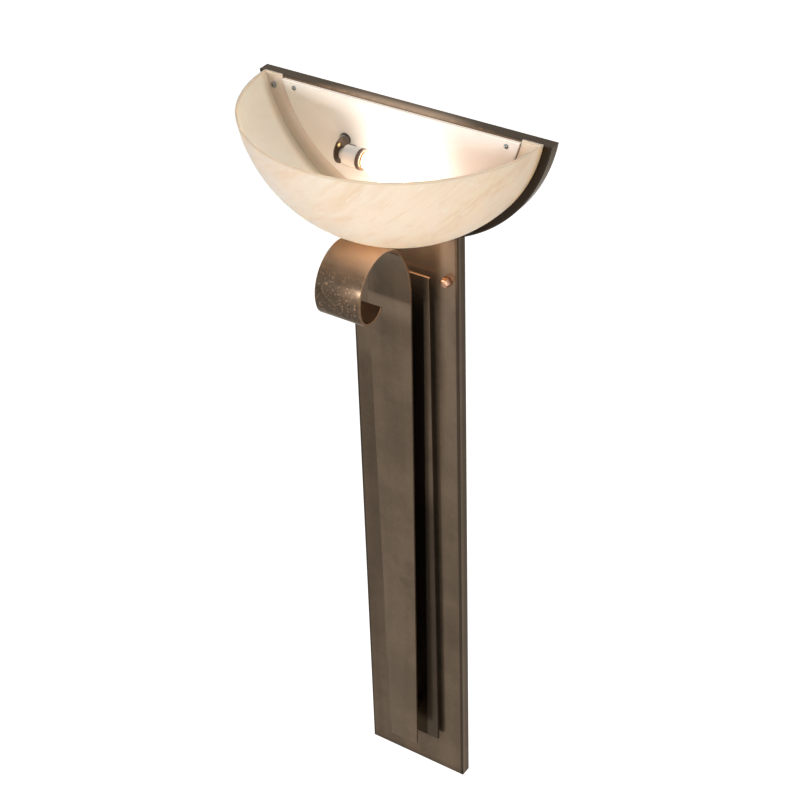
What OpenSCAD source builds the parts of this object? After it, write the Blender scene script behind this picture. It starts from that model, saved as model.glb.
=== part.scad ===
// Tall wall light: a scroll-fronted metal column that carries a half-bowl shade,
// open at the top, with one lamp lying level inside it.
// Millimetres. The wall is the plane y = 0 and the light stands out towards -y.
// The origin is on the wall, at the middle of the crossbar. +z is up.

/* [Column] */
// Width of the column's pan
column_w = 203; // [170:1:260]
// How far the column reaches below the crossbar
column_drop = 1095; // [700:5:1300]
// Depth of the pans from the wall to their faces
pan_d = 22; // [20:1:40]
// Thickness of the pans' sheet
sheet_t = 2; // [1.5:0.1:2.5]
// Outside radius of the pans' bends
bend_r = 3; // [2.6:0.1:5]

/* [Head plate] */
// Height of the head's straight top edge above the crossbar
head_top = 279; // [240:1:340]
// Radius of the head's round lower edge
head_r = 267; // [250:1:300]
// Height of that edge's centre above the top edge
centre_rise = 50; // [30:1:70]
// Thickness of the head's band
band_t = 3; // [2:0.1:4]
// Gap left for the weld between the head and the column
seam_gap = 0.2; // [0.1:0.05:0.5]
// Width of the way for the wires from the head into the column
wire_way_w = 120; // [100:1:150]
// Height of the splice plate behind the weld
splice_h = 40; // [30:1:44]

/* [Shade] */
// Margin of the head plate that shows round the shade
shade_margin = 13; // [8:1:20]
// How far the shade reaches out from the head plate
shade_depth = 244; // [206:1:256]
// Depth of the straight band at the shade's back
shade_band = 4; // [0:0.5:10]
// Thickness of the shade
shade_t = 3.2; // [2.5:0.1:5]
// Width of the shade's inward flange, from its outer edge
flange_w = 33; // [30:1:42]
// Height of the shade's rim above the head plate
rim_rise = 3; // [0:0.5:8]
// Drop of the upper shade screws below the rim
shade_screw_drop = 21; // [16:1:40]
// Distance of the shade screws in from the shade's edge
shade_screw_in = 12.5; // [11:0.5:14]

/* [Reflector] */
// Gap between the reflector and the flange
reflector_gap = 2; // [1.5:0.5:6]
// How far the reflector stands out from the head plate
reflector_d = 6; // [4:0.5:9]
// Thickness of the reflector's sheet
reflector_t = 1; // [0.8:0.1:1.5]
// Drop of the reflector's top edge below the head's top edge
reflector_drop = 3; // [1:0.5:8]
// Drop of the upper reflector screws below the reflector's top edge
reflector_screw_drop = 10; // [7:0.5:20]
// Distance of the reflector screws in from the reflector's edge
reflector_screw_in = 19; // [10:0.5:25]

/* [Middle bar] */
// Width of the middle bar
bar_w = 112; // [90:1:140]
// Thickness of the middle bar
bar_t = 4.8; // [3:0.1:8]
// Gap between the column and the middle bar
bar_gap = 8; // [5:0.5:16]
// Height of the bar's and the strap's lower ends above the column's lower end
foot_rise = 83; // [50:1:140]
// Height of the bar's top above the crossbar
bar_top = 3; // [-20:1:24]

/* [Scroll strap] */
// Width of the strap at its lower end
strap_foot_w = 56; // [40:1:80]
// Width of the strap at the scroll
strap_top_w = 82; // [60:1:100]
// Thickness of the strap
strap_t = 4.8; // [3:0.1:6]
// Gap between the middle bar and the strap
strap_gap = 26; // [18:1:40]
// Gap between the scroll's crown and the shade above it
scroll_gap = 1; // [0.5:0.5:10]
// Outer radius where the strap starts to lean forward
lean_r = 151; // [140:1:156]
// Outer radius of the scroll's crown
crown_r = 66; // [60:1:68]
// Outer radius of the scroll's curl
curl_r = 33; // [28:1:38]
// Angle where the lean turns into the crown
lean_a = 31; // [29:1:33]
// Angle where the crown turns into the curl
crown_a = 197; // [190:1:205]
// Angle where the curl ends
curl_a = 328; // [300:1:340]

/* [Strap fixings] */
// Radius of the strap's studs
strap_stud_r = 3.1; // [2.5:0.1:4]
// Outer radius of the spacers
spacer_r = 8; // [6.5:0.1:12]
// Distance of the outer fixings in from the bar's ends
fixing_in = 52; // [30:1:90]
// Number of fixings
fixing_count = 3; // [2:1:4]

/* [Wall crossbar] */
// Gap between the crossbar's ends and the column's sides
crossbar_gap = 4.5; // [1:0.5:8]
// Height of the crossbar
crossbar_h = 25; // [20:1:32]
// Thickness of the crossbar
crossbar_t = 3; // [2:0.1:4]
// Distance between the two screws of the wall box
box_pitch = 88.9; // [83:0.1:96]
// Radius of the slots for those screws
box_slot_r = 2.4; // [2:0.1:3]
// Length of each slot
box_slot_l = 14; // [10:0.5:18]
// Radius of the crossbar's middle hole
middle_hole_r = 5.2; // [4:0.1:7]
// Distance of the cap nuts in from the column's edges
cap_nut_in = 18.5; // [16:0.5:22]
// Radius of the mounting studs
stud_r = 3.1; // [2.5:0.1:3.5]
// Size of the cap nuts across their flats
cap_nut_af = 16; // [13:0.5:20]
// Height of the cap nuts
cap_nut_h = 15; // [13:0.5:18]

/* [Lamp holder] */
// Distance of the lamp's axis from the head plate
lamp_out = 45; // [42:0.5:60]
// Drop of the lamp's axis below the head's top edge
lamp_drop = 78; // [60:1:100]
// Distance of the holder's back from the middle, to the left
holder_left = 68.5; // [60:0.5:80]
// Outer radius of the holder's body
holder_r = 16.5; // [16:0.1:20]
// Length of the holder's body
holder_l = 26; // [24:0.5:32]
// Outer radius of the holder's ring
ring_r = 17.2; // [16.5:0.1:21]
// Length of the ring
ring_l = 6.5; // [3:0.5:8]
// Thickness of the holder's floor
floor_t = 5; // [4:0.5:7]
// Length of the neck that stands the holder off its bracket
neck_l = 9; // [4:0.5:12]
// Radius of the neck
neck_r = 9; // [8:0.1:9.4]
// Thickness of the bracket
bracket_t = 2; // [1.5:0.1:3]
// Radius of the bracket's round plate behind the holder
plate_r = 21; // [20:0.5:24]
// Height of that plate's middle above the lamp's axis
plate_up = 5; // [3:0.5:6]
// Width of the strip that carries the plate
strip_w = 14; // [12:0.5:18]
// Drop of the strip's middle below the lamp's axis
strip_drop = 11; // [9:0.5:12]
// Radius of the bracket's eye round the nipple
eye_r = 10; // [9.5:0.1:11]
// Distance of the nipple from the plate
nipple_in = 19.5; // [17:0.5:26]
// Outer radius of the nipple
nipple_r = 5; // [4.6:0.1:5.4]
// Wall of the nipple
nipple_wall = 1.4; // [1:0.1:1.6]
// Height of the nipple above the lamp's axis
nipple_up = 2; // [0:0.5:4]

/* [Lamp] */
// Radius of the lamp's screw base
base_r = 13.1; // [13:0.05:13.2]
// Length of the lamp's screw base
base_l = 22; // [18:0.5:24]
// Radius of the lamp's bulb
bulb_r = 30; // [25:0.5:33]
// Length of the whole lamp
lamp_l = 107; // [98:1:115]
// Thickness of the lamp's glass
glass_t = 0.8; // [0.6:0.1:1.2]

/* [Fits] */
// Radial clearance of a nut or nipple on its thread
thread_gap = 0.05; // [0.03:0.01:0.1]
// Radial clearance of the lamp's base in its shell
lamp_gap = 0.05; // [0.03:0.01:0.08]
// Radial clearance of a screw or stud in its hole
hole_gap = 0.3; // [0.1:0.05:0.6]

/* [Hidden] */
$fn = 96;
face_y = -pan_d;
column_foot = -column_drop;
centre_z = head_top + centre_rise;
head_low = centre_z - head_r;
cavity_d = pan_d - sheet_t;
beyond = 1;

shade_r = head_r - shade_margin;
rim_z = head_top + rim_rise;
spin_y = face_y - shade_band;
spun_depth = shade_depth - shade_band;
spin_z = centre_z - (shade_r - spun_depth);
flange_in_r = shade_r - flange_w;
flange_face = face_y - shade_t;

reflector_r = flange_in_r - reflector_gap;
reflector_top = head_top - reflector_drop;
reflector_face = face_y - reflector_d;

bar_back = face_y - bar_gap;
bar_face = bar_back - bar_t;
strap_back = bar_face - strap_gap;
foot_z = column_foot + foot_rise;
lean_y = strap_back - lean_r;
crown_y = lean_y + (lean_r - crown_r) * cos(lean_a);
crown_z = spin_z - sqrt(pow(spun_depth + scroll_gap + crown_r, 2) - pow(spin_y - crown_y, 2));
scroll_z = crown_z - (lean_r - crown_r) * sin(lean_a);

fixing_low = foot_z + fixing_in;
fixing_high = min(bar_top, scroll_z) - fixing_in;
fixing_z = [for (i = [0:fixing_count - 1])
    fixing_low + (fixing_high - fixing_low) * i / (fixing_count - 1)];
fixing_nut_af = 11;
fixing_nut_t = 5;
fixing_washer_r = 8;
fixing_washer_t = 1.2;
fixing_tail = 2;

stud_x = column_w / 2 - cap_nut_in;
crossbar_l = column_w - 2 * (sheet_t + crossbar_gap);
stud_nut_af = 11;
stud_nut_t = 5;
cap_nut_rim = 5.5;
cap_nut_cover = 2;
cap_nut_tip_r = 3.4;
stud_end_gap = 1;

lamp_y = face_y - lamp_out;
lamp_z = head_top - lamp_drop;
holder_x = -holder_left;
arm_x = holder_x - neck_l;
shell_t = 0.6;
shell_r = base_r + lamp_gap;
shell_bore = shell_r + shell_t + hole_gap;
shell_end = holder_l + ring_l + 1.6;
shell_lip_r = shell_r + 2.2;
contact_r = 4;
contact_h = 2.4;
tip_gap = 0.3;
tip_u = floor_t + contact_h + tip_gap;
tip_h = 1.7;
tip_r = 5;
insulator_h = 4.5;
base_u = tip_u + tip_h + insulator_h;
base_wall = 0.9;
bulb_u = tip_u + lamp_l - bulb_r;
bulb_neck_r = base_r - base_wall - 0.1;
bulb_join = 13;
bulb_join_r = sqrt(bulb_r * bulb_r - bulb_join * bulb_join);
glass_in_base = 12;
stem_r = 5;
stem_l = 26;
filament_w = 22;
support_l = 25;
support_r = 0.5;

nipple_x = arm_x - nipple_in;
nipple_z = lamp_z + nipple_up;
nipple_front = 8;
nipple_rear = 8;
nipple_nut_af = 15;
nipple_nut_t = 4;
lock_washer_r = 8.6;
lock_washer_t = 0.8;
foot_face = reflector_face - bracket_t;
plate_y = lamp_y + 2;
plate_z = lamp_z + plate_up;
terminal_y = plate_y - plate_r * 0.4;
terminal_z = plate_z + plate_r * 0.57;

small_screw_r = 1.8;
small_head_r = 3.9;
small_head_h = 2.4;
small_screw_tail = 6;
washer_r = 5.6;
washer_t = 0.8;

lead_r = 1.1;
lead_y = -8;
lead_pitch = 1.7;
lead_stub = 10;
lead_drop = 6;
lead_turn_in = 17;
lead_turn_drop = 53;
lead_rise = 16;
wire_nut_r = 5.5;
wire_nut_tip_r = 3.8;
wire_nut_l = 16;
wire_nut_grip = 9;
wire_nut_z = 40;
wire_nut_pitch = 30;
ground_x = 20;

// Colours as the photograph shows them
bronze = [0.40, 0.34, 0.28];
copper = [0.72, 0.45, 0.30];
zinc = [0.72, 0.74, 0.76];
brass = [0.78, 0.62, 0.33];
alabaster = [0.96, 0.88, 0.77];
white = [0.95, 0.94, 0.92];
porcelain = [0.93, 0.92, 0.88];
umber = [0.25, 0.16, 0.11];
black = [0.10, 0.10, 0.10];
frosted = [1.00, 0.97, 0.90];

// Stands a flat (x, z) outline up against the plane y and makes it t thick
module facing(y, t) {
    translate([0, y, 0]) rotate([90, 0, 0]) linear_extrude(t) children();
}

// Draws a flat (y, z) outline out to both sides along x
module across(w) {
    rotate([90, 0, 90]) linear_extrude(w, center = true) children();
}

// Points a shape made along +z out from the wall, at a place on it
module outward(x, y, z) {
    translate([x, y, z]) rotate([90, 0, 0]) children();
}

// Lays a shape made along +z level along the lamp's axis, u from the holder's back
module along_lamp(u) {
    translate([holder_x + u, lamp_y, lamp_z]) rotate([0, 90, 0]) children();
}

module tube(h, outer, inner) {
    difference() {
        cylinder(h = h, r = outer);
        translate([0, 0, -beyond]) cylinder(h = h + 2 * beyond, r = inner);
    }
}

module hex_nut(af, h, bore) {
    difference() {
        intersection() {
            cylinder(h = h, r = af / sqrt(3), $fn = 6);
            translate([0, 0, h / 2]) sphere(r = sqrt(af * af * 0.31 + h * h / 4));
        }
        translate([0, 0, -beyond]) cylinder(h = h + 2 * beyond, r = bore);
    }
}

// A cross-slotted pan-head screw: its head is above z = 0 and its shank below
module pan_screw(head_r, head_h, shank_r, shank_l) {
    slot_w = head_r * 0.26;
    slot_l = head_r * 1.15;
    difference() {
        intersection() {
            cylinder(h = head_h, r = head_r);
            translate([0, 0, head_h - head_r * 1.5]) sphere(r = head_r * 1.5);
        }
        for (a = [0, 90]) rotate([0, 0, a])
            translate([-slot_l / 2, -slot_w / 2, head_h * 0.5]) cube([slot_l, slot_w, head_h]);
    }
    translate([0, 0, -shank_l]) cylinder(h = shank_l, r = shank_r);
}

// One straight piece of round rod between two points, run on past its ends where asked
module rod(a, b, r, before, after, turn) {
    d = (b - a) / norm(b - a);
    translate(a - before * d) rotate([0, acos(d[2]), atan2(d[1], d[0])]) rotate([0, 0, turn])
        cylinder(h = norm(b - a) + before + after, r = r, $fn = 24);
}

// A bent wire through a list of points
module wire(points, r) {
    last = len(points) - 2;
    past = 0.8 * r;
    for (i = [0:last])
        rod(points[i], points[i + 1], r, i > 0 ? past : 0, i < last ? past : 0, 17 * i);
}

// The two upper screws and the lower one that share a round edge
function rim_places(r, inset, z) =
    [for (s = [-1, 1]) [s * (sqrt(r * r - pow(centre_z - z, 2)) - inset), z],
        [0, centre_z - r + inset]];

shade_places = rim_places(shade_r, shade_screw_in, rim_z - shade_screw_drop);
reflector_places =
    rim_places(reflector_r, reflector_screw_in, reflector_top - reflector_screw_drop);

// The head's outline: a circle cut off straight at the top
module head_outline(r, top) {
    difference() {
        translate([0, centre_z]) circle(r = r);
        translate([-2 * r, top]) square([4 * r, 2 * r]);
    }
}

// A pan's section, with its back at the origin's level and its corner bent
module bent_corner(w, d, r) {
    square([w, d - r]);
    square([w - r, d]);
    translate([w - r, d - r]) circle(r = r);
}

module column_pan() {
    top = centre_z - sqrt(head_r * head_r - pow(column_w / 2, 2)) + beyond;
    inner_w = column_w - 2 * sheet_t;
    color(bronze) difference() {
        intersection() {
            translate([0, 0, column_foot]) linear_extrude(top - column_foot) for (s = [0, 1])
                mirror([s, 0]) mirror([0, 1]) bent_corner(column_w / 2, pan_d, bend_r);
            across(column_w) translate([0, top]) rotate(180)
                bent_corner_turned(top - column_foot, pan_d, bend_r);
        }
        translate([-inner_w / 2, -cavity_d, column_foot + sheet_t])
            cube([inner_w, pan_d, top - column_foot]);
        translate([0, beyond, centre_z]) rotate([90, 0, 0])
            cylinder(h = pan_d + 2 * beyond, r = head_r + seam_gap);
        for (s = [-1, 1]) outward(s * stud_x, 0, 0)
            cylinder(h = pan_d + beyond, r = stud_r + hole_gap);
        for (z = fixing_z) outward(0, 0, z)
            cylinder(h = pan_d + beyond, r = strap_stud_r + hole_gap);
    }
}

// The same section with its length along y and its depth along x
module bent_corner_turned(l, d, r) {
    square([d - r, l]);
    square([d, l - r]);
    translate([d - r, l - r]) circle(r = r);
}

module head_face() {
    color(bronze) difference() {
        intersection() {
            translate([0, 0, centre_z]) rotate([90, 0, 0]) rotate_extrude() difference() {
                bent_corner(head_r, pan_d, bend_r);
                square([head_r, cavity_d]);
            }
            across(2 * head_r) translate([0, head_low - beyond]) mirror([1, 0])
                bent_corner_turned(head_top - head_low + beyond, pan_d, bend_r);
        }
        for (p = shade_places) outward(p[0], 0, p[1])
            cylinder(h = pan_d + beyond, r = small_screw_r + hole_gap);
        for (p = reflector_places) outward(p[0], 0, p[1])
            cylinder(h = pan_d + beyond, r = small_screw_r + hole_gap);
        outward(nipple_x, 0, nipple_z) cylinder(h = pan_d + beyond, r = nipple_r + hole_gap);
    }
}

module head_band() {
    color(bronze) difference() {
        facing(0, cavity_d) head_outline(head_r, head_top);
        facing(beyond, pan_d) head_outline(head_r - band_t, head_top - band_t);
        translate([-wire_way_w / 2, -pan_d, head_low - beyond])
            cube([wire_way_w, pan_d + beyond, splice_h]);
    }
}

module splice_plate() {
    w = wire_way_w - 2 * sheet_t;
    color(zinc) translate([-w / 2, -cavity_d, head_low - splice_h / 2])
        cube([w, sheet_t, splice_h]);
}

module middle_bar() {
    color(bronze) difference() {
        facing(bar_back, bar_t) translate([-bar_w / 2, foot_z]) square([bar_w, bar_top - foot_z]);
        for (z = fixing_z) outward(0, bar_back + beyond, z)
            cylinder(h = bar_t + 2 * beyond, r = strap_stud_r + hole_gap);
    }
}

function at_angle(a) = [cos(a), sin(a)];

// One bend of the strap, from angle a to angle b about its centre
module bend(centre, r, a, b) {
    steps = 6;
    skin = 0.1;
    lap = 0.4;
    translate(centre) {
        intersection() {
            difference() {
                circle(r = r);
                circle(r = r - strap_t);
            }
            polygon(concat([[0, 0]],
                [for (i = [0:steps]) 2 * r * at_angle(a + (b - a) * i / steps)]));
        }
        rotate(a) translate([r - strap_t + skin, -lap / 2]) square([strap_t - 2 * skin, lap]);
    }
}

module scroll_strap() {
    lean_c = [lean_y, scroll_z];
    crown_c = [crown_y, crown_z];
    curl_c = crown_c + (crown_r - curl_r) * at_angle(crown_a);
    color(bronze) {
        facing(strap_back, strap_t) polygon([
            [-strap_foot_w / 2, foot_z], [strap_foot_w / 2, foot_z],
            [strap_top_w / 2, scroll_z], [-strap_top_w / 2, scroll_z]]);
        across(strap_top_w) {
            bend(lean_c, lean_r, 0, lean_a);
            bend(crown_c, crown_r, lean_a, crown_a);
            bend(curl_c, curl_r, crown_a, curl_a);
        }
    }
}

module spacers(y, l) {
    color(bronze) for (z = fixing_z) outward(0, y, z)
        tube(l, spacer_r, strap_stud_r + hole_gap);
}

module bar_spacers() {
    spacers(face_y, bar_gap);
}

module strap_spacers() {
    spacers(bar_face, strap_gap);
}

module strap_studs() {
    back = -cavity_d + fixing_washer_t + fixing_nut_t + fixing_tail;
    color(zinc) for (z = fixing_z) outward(0, back, z)
        cylinder(h = back - strap_back, r = strap_stud_r);
}

module strap_washers() {
    color(zinc) for (z = fixing_z) outward(0, fixing_washer_t - cavity_d, z)
        tube(fixing_washer_t, fixing_washer_r, strap_stud_r + hole_gap);
}

module strap_nuts() {
    color(zinc) for (z = fixing_z) outward(0, fixing_washer_t + fixing_nut_t - cavity_d, z)
        hex_nut(fixing_nut_af, fixing_nut_t, strap_stud_r + thread_gap);
}

module wall_crossbar() {
    color(zinc) facing(0, crossbar_t) difference() {
        square([crossbar_l, crossbar_h], center = true);
        circle(r = middle_hole_r);
        for (s = [-1, 1]) translate([s * box_pitch / 2, 0]) {
            square([box_slot_l - 2 * box_slot_r, 2 * box_slot_r], center = true);
            for (e = [-1, 1]) translate([e * (box_slot_l / 2 - box_slot_r), 0])
                circle(r = box_slot_r);
        }
        for (s = [-1, 1]) translate([s * stud_x, 0]) circle(r = stud_r + thread_gap);
        translate([ground_x, 0]) circle(r = small_screw_r + thread_gap);
    }
}

module mounting_studs() {
    l = pan_d + cap_nut_h - cap_nut_cover - stud_end_gap;
    color(zinc) for (s = [-1, 1]) outward(s * stud_x, 0, 0) cylinder(h = l, r = stud_r);
}

module stud_nuts() {
    color(zinc) for (s = [-1, 1]) outward(s * stud_x, -crossbar_t, 0)
        hex_nut(stud_nut_af, stud_nut_t, stud_r + thread_gap);
}

module cap_nuts() {
    corner = cap_nut_af / sqrt(3);
    color(copper) for (s = [-1, 1]) outward(s * stud_x, face_y, 0) difference() {
        union() {
            cylinder(h = cap_nut_rim, r = corner, $fn = 6);
            translate([0, 0, cap_nut_rim])
                cylinder(h = cap_nut_h - cap_nut_rim, r1 = corner, r2 = cap_nut_tip_r, $fn = 6);
        }
        translate([0, 0, -beyond])
            cylinder(h = cap_nut_h - cap_nut_cover + beyond, r = stud_r + thread_gap);
    }
}

// All that lies in front of a line back and below a line top
module front_of(back, top) {
    box = 2 * shade_r + 2;
    translate([-box / 2, back - box, top - box]) cube([box, box, box]);
}

// The bowl filled up: an arc of radius r spun about a level axis, with a straight band behind it
module bowl(r, back, top) {
    intersection() {
        translate([0, spin_y, spin_z]) rotate([0, 90, 0]) rotate_extrude() difference() {
            translate([spun_depth - shade_r, 0]) circle(r = r);
            translate([-4 * r, -2 * r]) square([4 * r, 4 * r]);
        }
        front_of(min(back, spin_y), top);
    }
    if (back > spin_y) intersection() {
        facing(back, back - spin_y) translate([0, centre_z]) circle(r = r);
        front_of(back, top);
    }
}

module shade() {
    color(alabaster) difference() {
        bowl(shade_r, face_y, rim_z);
        bowl(shade_r - shade_t, flange_face, rim_z + beyond);
        facing(face_y + beyond, shade_t + 2 * beyond) translate([0, centre_z])
            circle(r = flange_in_r);
        for (p = shade_places) outward(p[0], face_y + beyond, p[1])
            cylinder(h = shade_t + 2 * beyond, r = small_screw_r + hole_gap);
    }
}

module shade_screws() {
    color(zinc) for (p = shade_places) outward(p[0], flange_face - washer_t, p[1])
        pan_screw(small_head_r, small_head_h, small_screw_r, small_screw_tail + shade_t);
}

module shade_washers() {
    color(zinc) for (p = shade_places) outward(p[0], flange_face, p[1])
        tube(washer_t, washer_r, small_screw_r + hole_gap);
}

module reflector() {
    color(white) difference() {
        facing(face_y, reflector_d) head_outline(reflector_r, reflector_top);
        facing(face_y + beyond, reflector_d - reflector_t + beyond)
            head_outline(reflector_r - reflector_t, reflector_top - reflector_t);
        for (p = reflector_places) outward(p[0], face_y, p[1])
            cylinder(h = reflector_d + beyond, r = small_screw_r + hole_gap);
        outward(nipple_x, face_y, nipple_z)
            cylinder(h = reflector_d + beyond, r = nipple_r + hole_gap);
    }
}

module reflector_screws() {
    color(zinc) for (p = reflector_places) outward(p[0], reflector_face, p[1])
        pan_screw(small_head_r, small_head_h, small_screw_r, small_screw_tail + reflector_d);
}

module socket_bracket() {
    strip_z = lamp_z - strip_drop - strip_w / 2;
    color(umber) difference() {
        union() {
            translate([nipple_x, foot_face, strip_z])
                cube([arm_x - nipple_x, bracket_t, strip_w]);
            outward(nipple_x, reflector_face, nipple_z) cylinder(h = bracket_t, r = eye_r);
            translate([arm_x - bracket_t, plate_y, strip_z])
                cube([bracket_t, reflector_face - plate_y, strip_w]);
            translate([arm_x - bracket_t, plate_y, plate_z]) rotate([0, 90, 0])
                cylinder(h = bracket_t, r = plate_r);
        }
        outward(nipple_x, reflector_face + beyond, nipple_z)
            cylinder(h = bracket_t + 2 * beyond, r = nipple_r + hole_gap);
        along_lamp(-neck_l - bracket_t - beyond)
            cylinder(h = bracket_t + 2 * beyond, r = neck_r - 3);
        translate([arm_x + beyond, terminal_y, terminal_z]) rotate([0, -90, 0])
            cylinder(h = bracket_t + 2 * beyond, r = small_screw_r + thread_gap);
    }
}

module nipple() {
    front = foot_face - lock_washer_t - nipple_front;
    color(zinc) outward(nipple_x, nipple_rear - cavity_d, nipple_z)
        tube(nipple_rear - cavity_d - front, nipple_r, nipple_r - nipple_wall);
}

module nipple_nuts() {
    color(zinc) for (y = [foot_face - lock_washer_t, nipple_nut_t - cavity_d])
        outward(nipple_x, y, nipple_z)
            hex_nut(nipple_nut_af, nipple_nut_t, nipple_r + thread_gap);
}

module lock_washer() {
    color(zinc) outward(nipple_x, foot_face, nipple_z)
        tube(lock_washer_t, lock_washer_r, nipple_r + hole_gap);
}

module terminal_screw() {
    color(brass) translate([arm_x, terminal_y, terminal_z]) rotate([0, 90, 0])
        pan_screw(small_head_r * 0.9, small_head_h, small_screw_r, bracket_t + 1.5);
}

module socket_body() {
    color(porcelain) {
        along_lamp(-neck_l) cylinder(h = neck_l, r = neck_r);
        along_lamp(0) difference() {
            cylinder(h = holder_l, r = holder_r);
            translate([0, 0, floor_t]) cylinder(h = holder_l, r = shell_bore);
        }
    }
}

module socket_ring() {
    color(umber) along_lamp(holder_l) tube(ring_l, ring_r, shell_bore);
}

module socket_shell() {
    color(copper) along_lamp(floor_t) {
        tube(shell_end - floor_t, shell_r + shell_t, shell_r);
        tube(shell_t, shell_r + shell_t, contact_r + 2);
        translate([0, 0, holder_l + ring_l - floor_t])
            tube(shell_t, shell_lip_r, shell_r);
    }
}

module socket_contact() {
    color(brass) along_lamp(floor_t) {
        cylinder(h = contact_h / 3, r = contact_r);
        cylinder(h = contact_h, r = contact_r * 0.6);
    }
}

// A lead from the holder's neck, through the nipple and down behind the pans
module lead(offset, end_x) {
    start = [arm_x, lamp_y + offset, lamp_z + offset];
    in_x = nipple_x + offset;
    turn = [in_x + lead_turn_in, lead_y, nipple_z - lead_turn_drop + 3 * offset];
    over = wire_nut_z + wire_nut_l + lead_rise;
    wire([start, start - [lead_stub, 0, 0],
        [in_x, foot_face - lock_washer_t - nipple_front - lead_stub, nipple_z],
        [in_x, lead_y - lead_drop, nipple_z], [in_x, lead_y, nipple_z - lead_drop],
        turn, [end_x, lead_y, over],
        [end_x, lead_y, wire_nut_z + wire_nut_l - wire_nut_grip]], lead_r);
}

module black_lead() {
    color(black) lead(lead_pitch, 0);
}

module white_lead() {
    color(white) lead(-lead_pitch, -wire_nut_pitch);
}

module ground_lead() {
    x = ground_x + small_head_r + lead_r + hole_gap;
    y = -crossbar_t - lead_r - hole_gap / 2;
    color(copper) wire([[x, y, -small_head_r], [x, y, crossbar_h / 2 + small_head_r],
        [wire_nut_pitch, lead_y, wire_nut_z - 2 * small_head_r],
        [wire_nut_pitch, lead_y, wire_nut_z + wire_nut_grip]], lead_r);
}

module ground_screw() {
    color([0.2, 0.5, 0.25]) outward(ground_x, -crossbar_t, 0)
        pan_screw(small_head_r, small_head_h, small_screw_r, crossbar_t);
}

module wire_nut() {
    difference() {
        cylinder(h = wire_nut_l, r1 = wire_nut_tip_r, r2 = wire_nut_r);
        translate([0, 0, wire_nut_l - wire_nut_grip - 0.3])
            cylinder(h = wire_nut_grip + beyond, r = lead_r + 0.2);
    }
}

module wire_nuts() {
    color(black) {
        for (x = [0, -wire_nut_pitch]) translate([x, lead_y, wire_nut_z]) wire_nut();
        translate([wire_nut_pitch, lead_y, wire_nut_z + wire_nut_l]) mirror([0, 0, 1])
            wire_nut();
    }
}

module lamp_base() {
    color(brass) along_lamp(base_u) tube(base_l, base_r, base_r - base_wall);
}

module lamp_insulator() {
    color(black) along_lamp(base_u - insulator_h)
        cylinder(h = insulator_h, r1 = tip_r + 1, r2 = base_r - 0.2);
}

module lamp_tip() {
    color(brass) along_lamp(tip_u) cylinder(h = tip_h, r = tip_r);
}

// The lamp's glass made smaller all over by the thickness t
module bulb(t) {
    top = base_u + base_l;
    neck = bulb_neck_r - t;
    along_lamp(top - glass_in_base) cylinder(h = glass_in_base, r = neck);
    along_lamp(top) cylinder(h = bulb_u - bulb_join - top, r1 = neck, r2 = bulb_join_r - t);
    along_lamp(bulb_u) sphere(r = bulb_r - t);
}

module lamp_glass() {
    color(frosted) difference() {
        bulb(0);
        bulb(glass_t);
        along_lamp(base_u + base_l - glass_in_base - beyond)
            cylinder(h = 2 * beyond, r = bulb_neck_r - glass_t);
    }
}

module lamp_filament() {
    foot = base_u + base_l - glass_in_base;
    color(zinc) {
        along_lamp(foot) cylinder(h = 1.2, r = bulb_neck_r - glass_t - 0.1);
        along_lamp(foot) cylinder(h = stem_l, r = stem_r);
        for (s = [-1, 1]) along_lamp(foot + stem_l - 2) translate([0, s * stem_r * 0.6, 0])
            rotate([-s * 15, 0, 0]) cylinder(h = support_l, r = support_r);
        along_lamp(foot + stem_l + support_l - 3) rotate([90, 0, 0])
            cylinder(h = filament_w, r = support_r * 1.4, center = true);
    }
}

column_pan();
head_face();
head_band();
splice_plate();
middle_bar();
scroll_strap();
bar_spacers();
strap_spacers();
strap_studs();
strap_washers();
strap_nuts();
wall_crossbar();
mounting_studs();
stud_nuts();
cap_nuts();
shade();
shade_screws();
shade_washers();
reflector();
reflector_screws();
socket_bracket();
nipple();
nipple_nuts();
lock_washer();
terminal_screw();
socket_body();
socket_ring();
socket_shell();
socket_contact();
black_lead();
white_lead();
ground_lead();
ground_screw();
wire_nuts();
lamp_base();
lamp_insulator();
lamp_tip();
lamp_glass();
lamp_filament();
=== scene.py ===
"""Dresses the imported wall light: a bronze column with a scrolled strap under a lit half bowl."""
import math

import bpy
from mathutils import Matrix, Vector


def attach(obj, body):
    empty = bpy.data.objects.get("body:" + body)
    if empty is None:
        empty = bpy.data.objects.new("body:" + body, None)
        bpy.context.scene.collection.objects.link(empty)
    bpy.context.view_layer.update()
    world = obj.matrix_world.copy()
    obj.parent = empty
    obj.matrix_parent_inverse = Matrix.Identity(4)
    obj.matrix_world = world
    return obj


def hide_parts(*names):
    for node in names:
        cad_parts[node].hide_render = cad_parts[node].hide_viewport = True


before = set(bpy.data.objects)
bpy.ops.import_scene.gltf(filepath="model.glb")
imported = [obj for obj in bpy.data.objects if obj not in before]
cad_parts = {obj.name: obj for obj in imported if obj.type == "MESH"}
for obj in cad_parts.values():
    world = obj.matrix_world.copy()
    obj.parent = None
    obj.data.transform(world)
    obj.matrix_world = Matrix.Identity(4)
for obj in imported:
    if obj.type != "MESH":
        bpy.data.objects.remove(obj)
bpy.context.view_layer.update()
MM = 0.001

# Sizes and places in millimetres, as in the CAD

FACE_Y = -22.0
RIM_Z = 282.0
CENTRE_Z = 329.0
SHADE_R = 254.0
SPUN_DEPTH = 240.0
SHADE_BAND = 4.0
SHADE_T = 3.2
FLANGE_W = 33.0
SPIN_Y = FACE_Y - SHADE_BAND
SPIN_Z = CENTRE_Z - (SHADE_R - SPUN_DEPTH)

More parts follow.
